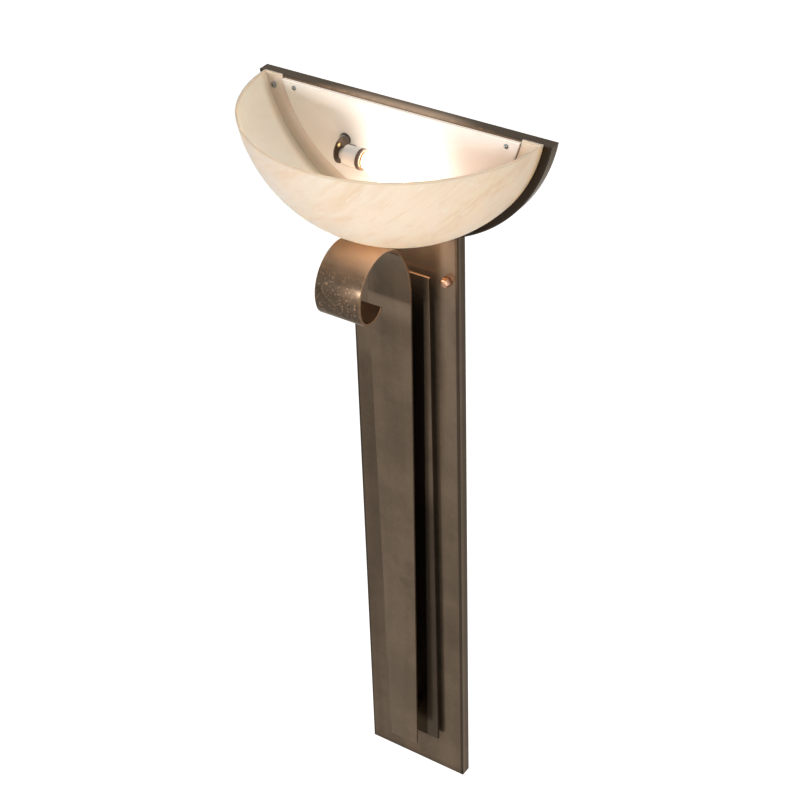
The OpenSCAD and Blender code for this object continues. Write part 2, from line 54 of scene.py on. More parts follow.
STRAP_BACK, STRAP_T = -60.8, 4.8
STRAP_FOOT_W, STRAP_TOP_W = 56.0, 82.0
FOOT_Z = -1012.0
LEAN_R, CROWN_R, CURL_R = 151.0, 66.0, 33.0
LEAN_A, CROWN_A, CURL_A = 31.0, 197.0, 328.0
SCROLL_GAP = 1.0
LEAN_Y = STRAP_BACK - LEAN_R
CROWN_Y = LEAN_Y + (LEAN_R - CROWN_R) * math.cos(math.radians(LEAN_A))
CROWN_Z = SPIN_Z - math.sqrt((SPUN_DEPTH + SCROLL_GAP + CROWN_R) ** 2 - (SPIN_Y - CROWN_Y) ** 2)
LEAN_Z = CROWN_Z - (LEAN_R - CROWN_R) * math.sin(math.radians(LEAN_A))
CURL_Y = CROWN_Y + (CROWN_R - CURL_R) * math.cos(math.radians(CROWN_A))
CURL_Z = CROWN_Z + (CROWN_R - CURL_R) * math.sin(math.radians(CROWN_A))

BAR_BACK, BAR_T, BAR_W, BAR_TOP = -30.0, 4.8, 112.0, 3.0
CAP_NUT_X, CAP_NUT_R, CAP_NUT_H = 83.0, 9.2376, 15.0
LAMP_Y, LAMP_Z = -67.0, 201.0
HOLDER_X, HOLDER_L = -68.5, 26.0
SHELL_START, BASE_START = 5.0, 13.9
LEAD_R, LEAD_BEND = 1.1, 7.0
WIRE_NUT_Y, WIRE_NUT_Z, WIRE_NUT_L, WIRE_NUT_PITCH = -8.0, 40.0, 16.0, 30.0


# Camera and light

CAMERA_PLACE = (1.4280, -2.1264, 1.5386)
CAMERA_RIGHT = (0.8348, 0.54993, -0.02622)
CAMERA_UP = (-0.29972, 0.4939, 0.81623)
CAMERA_AHEAD = (-0.46182, 0.67353, -0.57713)
LENS, SENSOR_W = 84.149, 36.0


def camera():
    """The camera, fitted to the real light's corners: high up and to the right."""
    data = bpy.data.cameras.new("camera")
    data.lens = LENS
    data.sensor_width = SENSOR_W
    data.clip_end = 30.0
    holder = bpy.data.objects.new("camera", data)
    turn = Matrix((CAMERA_RIGHT, CAMERA_UP, -Vector(CAMERA_AHEAD))).transposed().to_4x4()
    holder.matrix_world = Matrix.Translation(CAMERA_PLACE) @ turn
    bpy.context.collection.objects.link(holder)
    bpy.context.scene.camera = holder


def area_light(name, place, aim, size, power, colour=(1, 1, 1), hidden=False):
    """A lamp with a flat rectangular face, turned to its aim. The camera doesn't see a hidden one."""
    data = bpy.data.lights.new(name, "AREA")
    data.shape = "RECTANGLE"
    data.size, data.size_y = size
    data.energy = power
    data.color = colour
    light = bpy.data.objects.new(name, data)
    light.location = place
    light.rotation_euler = (Vector(aim) - Vector(place)).to_track_quat("-Z", "Y").to_euler()
    light.visible_camera = not hidden
    bpy.context.collection.objects.link(light)


def sight_rays(tree):
    """Two masks of a ray: one for the camera's own, and one that takes in reflections and glass as well."""
    straight, reflected, through = Value(tree).node("LightPath").outputs(
        "Is Camera Ray", "Is Glossy Ray", "Is Transmission Ray")
    return straight, straight.larger(reflected).larger(through)


def pale_world():
    """White all round to look at, and a fifth of that as light."""
    world = bpy.data.worlds.new("world")
    world.use_nodes = True
    seen = sight_rays(world.node_tree)[1]
    finish_shader(world.node_tree.nodes["Background"], Color=(1, 1, 1), Strength=seen * 0.80 + 0.20)
    bpy.context.scene.world = world


def pale_floor():
    """A pale floor below the light, lifted nearly to white where it is looked at."""
    bpy.ops.mesh.primitive_plane_add(size=30, location=(0, 0, -1.75))
    floor = started("floor")
    finish, shader, place = material("pale_floor")
    straight, seen = sight_rays(place.tree)
    finish_shader(shader, Base_Color=(0.86, 0.86, 0.86), Roughness=0.9, Emission_Color=(1.0, 1.0, 1.0),
                  Emission_Strength=straight * 0.52 + seen * 0.35)
    floor.data.materials.append(finish)


# Shader arithmetic

class Value:
    """An output socket of a shader. Arithmetic on it adds Math nodes."""

    def __init__(self, tree, socket=None):
        self.tree = tree
        self.socket = socket

    def node(self, kind, settings=(), inputs=(), output=0):
        """Adds a node with its settings and inputs, and gives one of its outputs."""
        made = self.tree.nodes.new("ShaderNode" + kind)
        for name, value in dict(settings).items():
            setattr(made, name, value)
        for name, value in dict(inputs).items():
            feed(made.inputs[name], value)
        return Value(self.tree, made.outputs[output])

    def outputs(self, *names):
        """Named outputs of the node that this one comes from."""
        return [Value(self.tree, self.socket.node.outputs[name]) for name in names]

    def maths(self, operation, *values):
        return self.node("Math", {"operation": operation}, enumerate(values))

    def __add__(self, other):
        return self.maths("ADD", self, other)

    def __sub__(self, other):
        return self.maths("SUBTRACT", self, other)

    def __rsub__(self, other):
        return self.maths("SUBTRACT", other, self)

    def __mul__(self, other):
        return self.maths("MULTIPLY", self, other)

    def __gt__(self, other):
        return self.maths("GREATER_THAN", self, other)

    def __lt__(self, other):
        return self.maths("LESS_THAN", self, other)

    __radd__ = __add__
    __rmul__ = __mul__

    def unsigned(self):
        return self.maths("ABSOLUTE", self)

    def root(self):
        return self.maths("SQRT", self)

    def larger(self, other):
        return self.maths("MAXIMUM", self, other)

    def between(self, low, high, first=0.0, last=1.0):
        """Runs smoothly from first at low to last at high."""
        return self.node("MapRange", {"interpolation_type": "SMOOTHSTEP"},
                         {"Value": self, "From Min": low, "From Max": high,
                          "To Min": first, "To Max": last})

    def band(self, start, full, fading, end):
        """Runs smoothly up from start to full, and down again from fading to end."""
        return self.between(start, full) * self.between(end, fading)

    def blend(self, first, second):
        """Mixes two colours by this mask."""
        return self.node("Mix", {"data_type": "RGBA"}, {0: self, 6: first, 7: second}, output=2)

    def scaled(self, factors):
        return self.node("VectorMath", {"operation": "MULTIPLY"}, {0: self, 1: factors})

    def moved(self, by):
        return self.node("VectorMath", {"operation": "ADD"}, {0: self, 1: by})

    def distance(self, point):
        return self.node("VectorMath", {"operation": "DISTANCE"}, {0: self, 1: point}, output=1)

    def noise(self, scale, detail=3.0, rough=0.5, distortion=0.0):
        return self.node("TexNoise", {}, {"Vector": self, "Scale": scale, "Detail": detail,
                                          "Roughness": rough, "Distortion": distortion})

    def axes(self):
        """The x, y and z of a place, in metres."""
        return self.node("SeparateXYZ", {}, {0: self}).outputs("X", "Y", "Z")

    def bump(self, strength, distance):
        return self.node("Bump", {}, {"Strength": strength, "Distance": distance, "Height": self})


def feed(socket, value):
    """Links a Value to an input, or sets a number, a vector or a colour there."""
    if isinstance(value, Value):
        value.tree.links.new(value.socket, socket)
    elif socket.type == "RGBA":
        socket.default_value = (*value, 1)
    else:
        socket.default_value = value


def material(name):
    """A new material, its shader, and the places on the piece that wears it."""
    made = bpy.data.materials.new(name)
    made.use_nodes = True
    tree = made.node_tree
    return made, tree.nodes["Principled BSDF"], Value(tree).node("TexCoord", output="Object")


def finish_shader(shader, **sockets):
    """Sets the shader's inputs, each named with _ for its spaces."""
    for name, value in sockets.items():
        feed(shader.inputs[name.replace("_", " ")], value)


def dimmed(colour, factor):
    return tuple(factor * c for c in colour)


# Finishes

# The bronze's own tones, then the colours of its painted shadow, painted warm light, painted highlights and
# flecks
BRONZE = (0.184, 0.130, 0.086)
BRONZE_DARK = (0.104, 0.073, 0.048)
BRONZE_WARM = (0.200, 0.118, 0.070)
BRONZE_SHADOWED = (0.010, 0.0075, 0.0055)
WARM_LIGHT_COPPER = (0.46, 0.25, 0.13)
HIGHLIGHT_COPPER = (0.98, 0.72, 0.52)
COPPER_FLECK = (0.55, 0.34, 0.21)


def bronze(name, light=1.0, dark=None, copper=None, bright=None, flecks=None, painted_shadow=None):
    """Satin rubbed bronze: a cloudy patina in soft upright bands, its whole tone dimmed when light is below
    1. Five masks darken it with painted shade and some darker patina, paint warm light and highlights in
       copper, paint pale
    highlights and reflections, fleck it, and paint a deep shadow on it."""
    made, shader, place = material(name)
    tint, shadow = dimmed(BRONZE, light), dimmed(BRONZE_DARK, light)
    cloud = place.noise(11.0, 5.0, 0.6).between(0.32, 0.70)
    streak = place.scaled((38.0, 38.0, 2.2)).noise(1.0, 2.0, 0.5).between(0.3, 0.7)
    mottle = place.noise(150.0, 2.0, 0.5).between(0.2, 0.8)
    smudge = place.noise(17.0, 2.0, 0.45).between(0.66, 0.76)
    ruddy = place.scaled((9.0, 9.0, 4.0)).noise(1.0, 4.0, 0.6, 0.4).between(0.52, 0.74)
    colour = (cloud * 0.52 + streak * 0.30 + mottle * 0.18).blend(shadow, tint)
    colour = (ruddy * 0.45).blend(colour, BRONZE_WARM)
    colour = (smudge * 0.35).blend(colour, dimmed(shadow, 0.7))
    metallic = 0.60
    # Painted shade, with some darker patina and pits on the column and the scroll
    if dark:
        colour = dark(place).blend(colour, dimmed(shadow, 0.30))
    # Painted warm light and highlights in copper, with a coppery tone inside the scroll's curl
    if copper:
        patches = place.noise(26.0, 3.0, 0.5).between(0.30, 0.65, 0.70, 1.0)
        colour = (copper(place) * patches).blend(colour, WARM_LIGHT_COPPER)
    # Painted highlights and reflections in pale copper
    if bright:
        colour = bright(place).blend(colour, HIGHLIGHT_COPPER)
    if flecks:
        colour = flecks(place).blend(colour, COPPER_FLECK)
    # Painted shadow, nearly black; more metal there takes away its diffuse light
    if painted_shadow:
        mask = painted_shadow(place)
        colour = mask.blend(colour, BRONZE_SHADOWED)
        metallic = mask * 0.40 + metallic
    finish_shader(shader, Base_Color=colour, Metallic=metallic, Specular_IOR_Level=0.30,
                  Specular_Tint=(1.0, 0.84, 0.68), Roughness=cloud * -0.05 + mottle * 0.04 + 0.21,
                  Normal=mottle.bump(0.04, 0.0003))
    return made


def plain_metal(name, colour, rough=0.28, stain=(0.6, 0.6, 0.6), metallic=1.0):
    """Small metal parts: an even metal with a slight stain and fine marks."""
    made, shader, place = material(name)
    cloud = place.noise(70.0, 3.0, 0.6).between(0.35, 0.75)
    marks = place.noise(700.0, 2.0, 0.6)
    stained = tuple(c * s for c, s in zip(colour, stain))
    finish_shader(shader, Base_Color=(cloud * 0.6).blend(colour, stained), Metallic=metallic,
                  Roughness=marks * 0.18 + (rough - 0.09), Normal=marks.bump(0.08, 0.0003))
    return made


def plain_coat(name, colour, rough=0.4, depth=0.85, coat=0.0):
    """Paint, plastic and porcelain: an even colour with faint clouding and a fine skin."""
    made, shader, place = material(name)
    cloud = place.noise(24.0, 4.0, 0.6).between(0.3, 0.7)
    skin = place.noise(450.0, 2.0, 0.5)
    finish_shader(shader, Base_Color=cloud.blend(dimmed(colour, depth), colour), Coat_Weight=coat,
                  Roughness=skin * 0.12 + (rough - 0.06), Normal=skin.bump(0.05, 0.0003))
    return made


def enamel():
    """The reflector's warm white enamel, browned a little towards its left end, with a painted glow of light
    on its top lip.
    """
    made, shader, place = material("white_enamel")
    x, _, z = place.axes()
    cloud = place.noise(14.0, 3.0, 0.5).between(0.3, 0.7)
    stain = place.noise(7.0, 3.0, 0.5).between(0.35, 0.65)
    darkened = x.between(-0.06, -0.19) * z.between(0.29, 0.24, 0.35, 1.0) * (stain * 0.5 + 0.5)
    # Painted light: the top lip is paler and glows as if lit
    lip = z.between(0.2752, 0.2757)
    colour = cloud.blend((0.81, 0.785, 0.74), (0.86, 0.84, 0.80))
    colour = darkened.blend(colour, (0.75, 0.735, 0.64))
    colour = lip.blend(colour, (1.0, 0.90, 0.80))
    finish_shader(shader, Base_Color=colour, Roughness=cloud * 0.08 + 0.36,
                  Emission_Color=lip.blend((0.0, 0.0, 0.0), (1.0, 0.84, 0.70)), Emission_Strength=0.42,
                  Normal=place.noise(450.0, 2.0, 0.5).bump(0.05, 0.0003))
    return made


def bowl_ring(x, y, z):
    """The radius of the ring that a point of the bowl lay on before it was spun forward, in metres."""
    forward = (SPIN_Y * MM - y).larger(0.0)
    drop = z - SPIN_Z * MM
    spun = (forward * forward + drop * drop).root() + (SHADE_R - SPUN_DEPTH) * MM
    return (spun * spun + x * x).root()


def swirled(place):
    """The sheet's cream with its peach swirls, fine veins and white threads, stronger towards the right."""
    x, _, z = place.axes()
    tilt = (0.0, math.radians(-42), math.radians(12))
    along = place.node("Mapping", {"vector_type": "TEXTURE"},
                       {"Vector": place, "Rotation": tilt, "Scale": (0.34, 0.10, 0.045)})
    drawn_out = along.moved(place.noise(3.2, 3.0, 0.5) * 1.6)
    swirl = drawn_out.noise(1.0, 6.0, 0.62, 0.8).between(0.44, 0.70)
    veins = drawn_out.noise(3.6, 6.0, 0.70, 0.5).between(0.46, 0.66)
    threads = drawn_out.noise(5.5, 4.0, 0.65, 0.4).between(0.54, 0.70)
    peach = (swirl * 0.75 + veins * 0.60) * (x.between(-0.20, 0.18) * 0.65 + 0.35)
    pale = x.between(-0.02, -0.20) * z.between(0.255, 0.20)
    colour = x.between(-0.06, 0.24).blend((0.925, 0.745, 0.635), (0.935, 0.725, 0.575))
    colour = pale.blend(colour, (0.965, 0.85, 0.785))
    colour = peach.blend(colour, (0.85, 0.585, 0.42))
    colour = (threads * x.between(-0.10, 0.06) * 0.55).blend(colour, (0.96, 0.83, 0.73))
    return place.noise(5.0, 4.0, 0.6).between(0.5, 0.75, 0.0, 0.3).blend(colour, (0.95, 0.86, 0.78))


def alabaster():
    """Cream translucent sheet, with an amber painted glow at its back edge, painted shade on its inner side
    near the flange, and a faint painted glow all over.
    """
    made, shader, place = material("cream_swirl")
    x, y, z = place.axes()
    ring = bowl_ring(x, y, z)
    inside = ring.between(0.2528, 0.2518)
    flange = (y > -0.0262) * inside
    # Painted glow, amber, on the outside near the back edge
    back_edge = y.between(-0.042, -0.026) * (1 - inside)
    wall = inside * (1 - flange) * x.between(0.0, -0.10)
    # Painted shade on the inner side near the flange, deepest into its corner
    corner = (1 - flange) * y.between(-0.046, -0.028) * 0.85 + flange * ring.between(0.222, 0.243, 0.55, 1.0)
    darkened = inside * corner * x.between(0.05, -0.05, 0.25, 0.9) * z.between(0.285, 0.24, 0.6, 1.0)
    cut_rim = z.between(0.2786, 0.2794)
    colour = swirled(place)
    colour = (back_edge * 0.85).blend(colour, (0.85, 0.54, 0.30))
    colour = (wall * 0.6).blend(colour, (0.90, 0.80, 0.64))
    colour = darkened.blend(colour, (0.36, 0.31, 0.21))
    colour = cut_rim.blend(colour, (0.80, 0.60, 0.45))
    # The emission is a faint painted glow over the whole sheet
    finish_shader(shader, Base_Color=colour, Roughness=0.42, Subsurface_Weight=0.85, Subsurface_Scale=0.014,
                  Subsurface_Radius=(1.0, 0.80, 0.62), Specular_IOR_Level=0.4,
                  Emission_Color=(1.0, 0.79, 0.61), Emission_Strength=0.06,
                  Normal=place.noise(120.0, 2.0, 0.5).bump(0.04, 0.0004))
    return made


def lit_glass():
    """The frosted glass of the burning lamp."""
    made, shader, place = material("lit_frosted_glass")
    cloud = place.noise(40.0, 2.0, 0.5)
    finish_shader(shader, Base_Color=cloud.blend((0.95, 0.93, 0.9), (1.0, 1.0, 1.0)), Roughness=0.5,
                  Emission_Color=cloud.blend((1.0, 0.93, 0.86), (1.0, 0.96, 0.92)), Emission_Strength=12.5)
    return made


# Masks laid on the bronze, in metres: painted shade, light, highlights and reflections, with some patina,
# pits and flecks

ON_FACE = -0.0212


def column_shade_and_patina(place):
    """Painted shade and dark reflections beside the column's bends, painted shade on its sides and at its
    foot, and darker patina down its left part.
    """
    x, y, z = place.axes()
    out = x.unsigned()
    front = y < ON_FACE
    bends = out.between(0.0964, 0.0978) * y.between(-0.0186, -0.0198)
    sides = (out > 0.1012) * (y.between(-0.0130, -0.0110) * 0.55 + z.between(-0.25, -0.60, 0.08, 0.16))
    left = x.between(-0.02, -0.05) * front * z.between(-1.0, -0.75, 0.12, 0.34) * z.between(-0.11, -0.28)
    foot = z.between(-1.076, -1.092) * (y < -0.0185)
    return bends * 0.75 + sides + left + foot * 0.35


def column_painted_bowl_light(place):
    """Painted warm light in copper at the column's top, where the lit bowl shines on it."""
    x, y, z = place.axes()
    return z.between(-0.07, 0.075) * (y < ON_FACE) * x.between(0.025, 0.075, 0.20, 0.34)


def column_painted_reflection(place):
    """Painted reflections as paler strips down the column's right part, and paler high on its left, fading
    towards its foot.
    """
    x, y, z = place.axes()
    right = x.band(0.064, 0.080, 0.0935, 0.0985)
    left = x.between(-0.045, -0.060) * z.between(-0.26, -0.15)
    cloud = place.scaled((30.0, 30.0, 7.0)).noise(1.0, 3.0, 0.5).between(0.30, 0.65, 0.45, 1.0)
    return (right + left * 0.45) * cloud * (y < ON_FACE) * z.between(-0.62, -0.12) * 0.085


def head_rim_shade_and_dark_top(place):
    """Painted shade, nearly black, on the head's rim and sides; darker in streaks along its top, most at the
    back and towards its ends.
    """
    x, y, z = place.axes()
    top = z > 0.2785
    rim = (1 - top) * (place.distance((0.0, -0.021, CENTRE_Z * MM)) > 0.2525)
    ends = x.unsigned().between(0.07, 0.17)
    streak = place.scaled((3.0, 160.0, 1.0)).noise(1.0, 2.0, 0.5).between(0.40, 0.62)
    on_top = y.between(-0.012, -0.005) * 0.6 + streak * 0.25 + ends * 0.85 + 0.1
    return rim * (y.between(-0.0175, -0.0195) * 0.10 + 0.88) + top * on_top


def head_painted_lamplight(place):
    """Painted lamplight in streaks on the head's top, where the lamp lights it."""
    x, y, z = place.axes()
    lit = x.band(-0.15, -0.02, 0.045, 0.155)
    streak = place.scaled((4.0, 220.0, 1.0)).noise(1.0, 3.0, 0.5).between(0.30, 0.60, 0.4, 1.0)
    return (z > 0.2772) * lit * streak * y.between(-0.004, -0.015, 0.3, 1.0) * 0.38


def head_painted_edge_light(place):
    """A painted highlight in copper along the front of the head's top edge, where it catches the lamp's warm
    light.
    """
    x, y, z = place.axes()
    spots = place.noise(90.0, 3.0, 0.6).between(0.42, 0.60)
    middle = x.unsigned().between(0.20, 0.09)
    return z.between(0.2778, 0.2788) * y.between(-0.0150, -0.0190) * (spots * 0.6 + 0.3) * middle


def bar_painted_edge_light(place):
    """Painted warm highlights in copper along the bar's top edge and, fainter, down its sides."""
    x, _, z = place.axes()
    corners = x.unsigned().band(0.0545, 0.0552, 0.0556, 0.0560)
    return z.between(0.0012, 0.0026) * 0.9 + corners * z.between(-0.25, -0.05) * 0.3


def bar_painted_strap_shadow(place):
    """The painted shadow of the strap on the part of the bar that it covers, nearly black below its top."""
    x, _, z = place.axes()
    half_strap = z * 0.01285 + 0.0465
    covered = (half_strap - x.unsigned()).between(0.0, 0.0020)
    return covered * z.between(0.005, -0.075, 0.15, 1.0) * z.between(-0.80, -0.97, 0.60, 0.97)


def bar_painted_shade(place):
    """Painted shade on the bar's narrow sides and, lower down, a painted dark reflection on its face's right
    half.
    """
    x, _, z = place.axes()
    narrow = x.unsigned().between(0.0552, 0.0558) * z.between(0.001, -0.002)
    right = x.between(-0.01, 0.01) * z.between(-0.40, -0.48)
    return narrow * 0.8 + right * 0.68


def off_axis(place, centre_y, centre_z):
    """How far a place lies from a level axis through a centre in millimetres."""
    return place.scaled((0.0, 1.0, 1.0)).distance((0.0, centre_y * MM, centre_z * MM))


def outer_face(place):
    """The scroll's outer side, over the crown."""
    return off_axis(place, CROWN_Y, CROWN_Z) > (CROWN_R - 1.5) * MM


def inner_face(place):
    """The curl's inner side."""
    return off_axis(place, CURL_Y, CURL_Z) < (CURL_R - STRAP_T + 0.4) * MM


def scroll_darkening_and_shadow(place):
    """Darker low on the curl, at its left and under its crown, with dark pits in its patina, and a painted
    shadow where the strap runs behind the curl.
    """
    x, y, z = place.axes()
    front = y.between(-0.13, -0.15)
    left = x.between(0.0, -0.04) * z.between(0.02, 0.07)
    below_crown = z.band(0.056, 0.070, 0.080, 0.092) * outer_face(place)
    pits = place.noise(160.0, 3.0, 0.6).between(0.52, 0.64) * z.band(-0.01, 0.02, 0.060, 0.080)
    curl = z.between(0.045, 0.0) * 0.75 + left * 0.28 + below_crown * 0.32 + pits * 0.22
    # Painted shadow of the curl on the strap behind it
    behind = z.between(-0.042, -0.030) * 0.22
    return front * curl + (1 - front) * behind


def scroll_copper_and_painted_light(place):
    """Copper as a painted highlight along the scroll's edges and painted warm light over its crown, and a
    coppery tone inside its curl.
    """
    x, _, z = place.axes()
    edges = x.unsigned().between(0.0392, 0.0412) * z.between(-0.06, 0.0)
    crown = z.between(0.055, 0.095) * outer_face(place)
    return edges * 0.40 + crown * 0.50 + inner_face(place) * 0.4


def scroll_painted_highlight(place):
    """A painted highlight in pale copper along the crown, and painted light as a paler patch on the limb
    behind the curl.
    """
    x, y, z = place.axes()
    crown = x.between(-0.045, 0.038, 0.30, 1.0) * z.between(0.078, 0.094) * outer_face(place)
    limb = (y > -0.10) * z.band(-0.085, -0.050, -0.038, -0.030)
    return crown * 0.55 + limb * 0.075


def scroll_flecks(place):
    """Copper flecks in a band round the curl's front, and a paler patch at its right."""
    x, y, z = place.axes()
    spots = place.noise(260.0, 2.0, 0.6).between(0.52, 0.72)
    round_curl = place.noise(45.0, 3.0, 0.6).between(0.33, 0.55) * z.band(-0.01, 0.02, 0.062, 0.084)
    paler_patch = x.between(-0.01, 0.036) * z.band(0.032, 0.044, 0.052, 0.064)
    return (spots * round_curl * 0.66 + paler_patch * 0.22) * (y < -0.15)


# Modelling by hand

def only(piece):
    """Selects the piece alone."""
    bpy.ops.object.select_all(action="DESELECT")
    piece.select_set(True)
    bpy.context.view_layer.objects.active = piece


def settled(piece):
    """Puts the piece's place, turn and scale into its mesh."""
    only(piece)
    bpy.ops.object.transform_apply(location=True, rotation=True, scale=True)
    return piece


def started(name):
    """Names the primitive that was just added, and settles it."""
    piece = bpy.context.active_object
    piece.name = piece.data.name = name
    return settled(piece)


def editing(piece):
    """Opens the piece in edit mode with all of it selected."""
    only(piece)
    bpy.ops.object.mode_set(mode="EDIT")
    bpy.ops.mesh.select_mode(type="VERT")
    bpy.ops.mesh.select_all(action="SELECT")


def done():
    bpy.ops.object.mode_set(mode="OBJECT")


def pick(piece, rule, kind="VERT"):
    """Selects what fits the rule: the rule is given its middle, in millimetres. Stays in edit mode."""
    if bpy.context.mode != "EDIT_MESH":
        editing(piece)
    bpy.ops.mesh.select_mode(type=kind)
    bpy.ops.mesh.select_all(action="DESELECT")
    done()
    mesh = piece.data
    items = {"VERT": mesh.vertices, "EDGE": mesh.edges, "FACE": mesh.polygons}[kind]
    for item in items:
        corners = [item.index] if kind == "VERT" else item.vertices
        middle = sum((mesh.vertices[corner].co for corner in corners), Vector()) / len(corners)
        item.select = bool(rule(middle / MM, item))
    bpy.ops.object.mode_set(mode="EDIT")


def drawn(*move):
    """Extrudes the selection and moves it, in millimetres."""
    bpy.ops.mesh.extrude_region_move(TRANSFORM_OT_translate={"value": [m * MM for m in move]})


def resized(*factors, centre=None):
    """Scales the selection about its own middle, or about a centre in millimetres."""
    about = {"center_override": [c * MM for c in centre]} if centre else {}
    bpy.ops.transform.resize(value=factors, **about)


def cut_level(height, **cleared):
    """Cuts the selection level at a height, with clear_outer for what lies above or clear_inner for below."""
    bpy.ops.mesh.bisect(plane_co=(0, 0, height * MM), plane_no=(0, 0, 1), **cleared)


def modified(piece, kind, **settings):
    """Applies a modifier with its settings."""
    only(piece)
    change = piece.modifiers.new(kind.lower(), kind)
    for name, value in settings.items():
        setattr(change, name, value)
    bpy.ops.object.modifier_apply(modifier=change.name)


def smoothed(piece, angle):
    """Shades the piece smooth across edges up to an angle."""
    only(piece)
    bpy.ops.object.shade_smooth_by_angle(angle=math.radians(angle))


def rounded(piece, width, segments=3, angle=30.0, smooth=35.0):
    """Rounds the piece's sharp edges and smooths the rest."""
    modified(piece, "BEVEL", width=width * MM, segments=segments, limit_method="ANGLE",
             angle_limit=math.radians(angle), harden_normals=False)
    smoothed(piece, smooth)


def outward_normals(piece):
    """Merges doubled points and makes the faces agree."""
    editing(piece)
    bpy.ops.mesh.remove_doubles(threshold=0.00002)
    bpy.ops.mesh.normals_make_consistent(inside=False)
    done()


def flipped(piece):
    """Makes every face look the other way."""
    editing(piece)
    bpy.ops.mesh.flip_normals()
    done()


def turned(piece, angle, axis, centre):
    """Turns the piece about a line through a centre, in millimetres."""
    editing(piece)
    bpy.ops.transform.rotate(value=math.radians(angle), orient_axis=axis,
                             center_override=[c * MM for c in centre])
    done()


def shifted(piece, move):
    """Moves the piece, in millimetres."""
    editing(piece)
    bpy.ops.transform.translate(value=[m * MM for m in move])
    done()


def copied(piece, name):
    """A copy of the piece with its own mesh."""
    other = piece.copy()
    other.data = piece.data.copy()
    other.name = other.data.name = name
    bpy.context.collection.objects.link(other)
    return other


# Strap, bar and shade

def walled(piece, thickness):
    """Gives an open sheet its thickness, away from the side that looks at the wall."""
    outward_normals(piece)
    if max(piece.data.polygons, key=lambda f: f.center.y).normal.y < 0:
        flipped(piece)
    modified(piece, "SOLIDIFY", thickness=thickness * MM, offset=-1.0, use_even_offset=True)


def strap():
    """The tall strap: a tapered strip, its top edge spun forward round three centres."""
    height = LEAN_Z - FOOT_Z
    bpy.ops.mesh.primitive_plane_add(size=1, location=(0, STRAP_BACK * MM, (LEAN_Z + FOOT_Z) / 2 * MM),
                                     rotation=(math.radians(-90), 0, 0))
    bpy.context.active_object.scale = (STRAP_TOP_W * MM, height * MM, 1)
    piece = started("scroll_strap_forged")
    pick(piece, lambda m, v: m.z < FOOT_Z + 1)
    resized(STRAP_FOOT_W / STRAP_TOP_W, 1, 1)
    pick(piece, lambda m, e: m.z > LEAN_Z - 1, "EDGE")
    bends = ((LEAN_Y, LEAN_Z, LEAN_A, 10), (CROWN_Y, CROWN_Z, CROWN_A - LEAN_A, 48),
             (CURL_Y, CURL_Z, CURL_A - CROWN_A, 36))
    for centre_y, centre_z, turn, steps in bends:
        bpy.ops.mesh.spin(steps=steps, angle=math.radians(-turn), center=(0, centre_y * MM, centre_z * MM),
                          axis=(1, 0, 0))
    done()
    walled(piece, STRAP_T)
    rounded(piece, 0.8, angle=50, smooth=30)
    return piece


def bar():
    """The middle bar, with rounded edges."""
    middle_y, middle_z = BAR_BACK - BAR_T / 2, (FOOT_Z + BAR_TOP) / 2
    bpy.ops.mesh.primitive_cube_add(size=1, location=(0, middle_y * MM, middle_z * MM))
    bpy.context.active_object.scale = (BAR_W * MM, BAR_T * MM, (BAR_TOP - FOOT_Z) * MM)
    piece = started("middle_bar_rolled")
    rounded(piece, 0.9, segments=4)
    return piece


def half_bowl():
    """The shade: a ring drawn forward, spun to the front, drawn in to its flange and cut at the rim."""
    middle = (0, FACE_Y, CENTRE_Z)
    bpy.ops.mesh.primitive_circle_add(vertices=192, radius=SHADE_R * MM, location=[m * MM for m in middle])
    piece = started("half_bowl")
    turned(piece, 90, "X", middle)
    editing(piece)
    cut_level(SPIN_Z, clear_outer=True)
    bpy.ops.mesh.select_all(action="SELECT")
    drawn(0, -SHADE_BAND, 0)
    bpy.ops.mesh.spin(steps=96, angle=math.radians(90), center=(0, SPIN_Y * MM, SPIN_Z * MM), axis=(1, 0, 0))
    pick(piece, lambda m, e: abs(m.y - FACE_Y) < 0.02, "EDGE")
    drawn(0, 0, 0)
    inner = (SHADE_R - FLANGE_W) / SHADE_R
    resized(inner, 1, inner, centre=middle)
    bpy.ops.mesh.select_all(action="SELECT")
    cut_level(RIM_Z, clear_outer=True)
    done()
    walled(piece, SHADE_T)
    rounded(piece, 1.2, angle=50, smooth=40)
    return piece


# Nuts, screws and pressed sheet

def cap_nut():
    """A six-sided nut drawn in to a rounded crown."""
    rim, steps = 5.5, 6
    tip = 3.4 / CAP_NUT_R
    bpy.ops.mesh.primitive_cylinder_add(vertices=6, radius=CAP_NUT_R * MM, depth=rim * MM,
                                        location=(CAP_NUT_X * MM, (FACE_Y - rim / 2) * MM, 0),
                                        rotation=(math.radians(90), math.radians(30), 0))
    piece = started("cap_nut_crowned")
    pick(piece, lambda m, f: m.y < FACE_Y - rim + 0.1, "FACE")
    width, rise = 1.0, 0.0
    for step in range(1, steps + 1):
        turn = math.radians(90 * step / steps)
        next_width = tip + (1 - tip) * math.cos(turn)
        next_rise = (CAP_NUT_H - rim) * math.sin(turn)
        drawn(0, rise - next_rise, 0)
        resized(*[next_width / width] * 3)
        width, rise = next_width, next_rise
    done()
    rounded(piece, 0.7, angle=24, smooth=40)
    return piece


def softened(node, name, width, segments=2):
    """A merged copy of a CAD node with its edges rounded."""
    piece = copied(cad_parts[node], name)
    piece.parent = None
    settled(piece)
    editing(piece)
    bpy.ops.mesh.remove_doubles(threshold=0.00001)
    bpy.ops.mesh.dissolve_limited(angle_limit=math.radians(0.6))
    done()
    rounded(piece, width, segments)
    return piece


# Leads and wire nuts

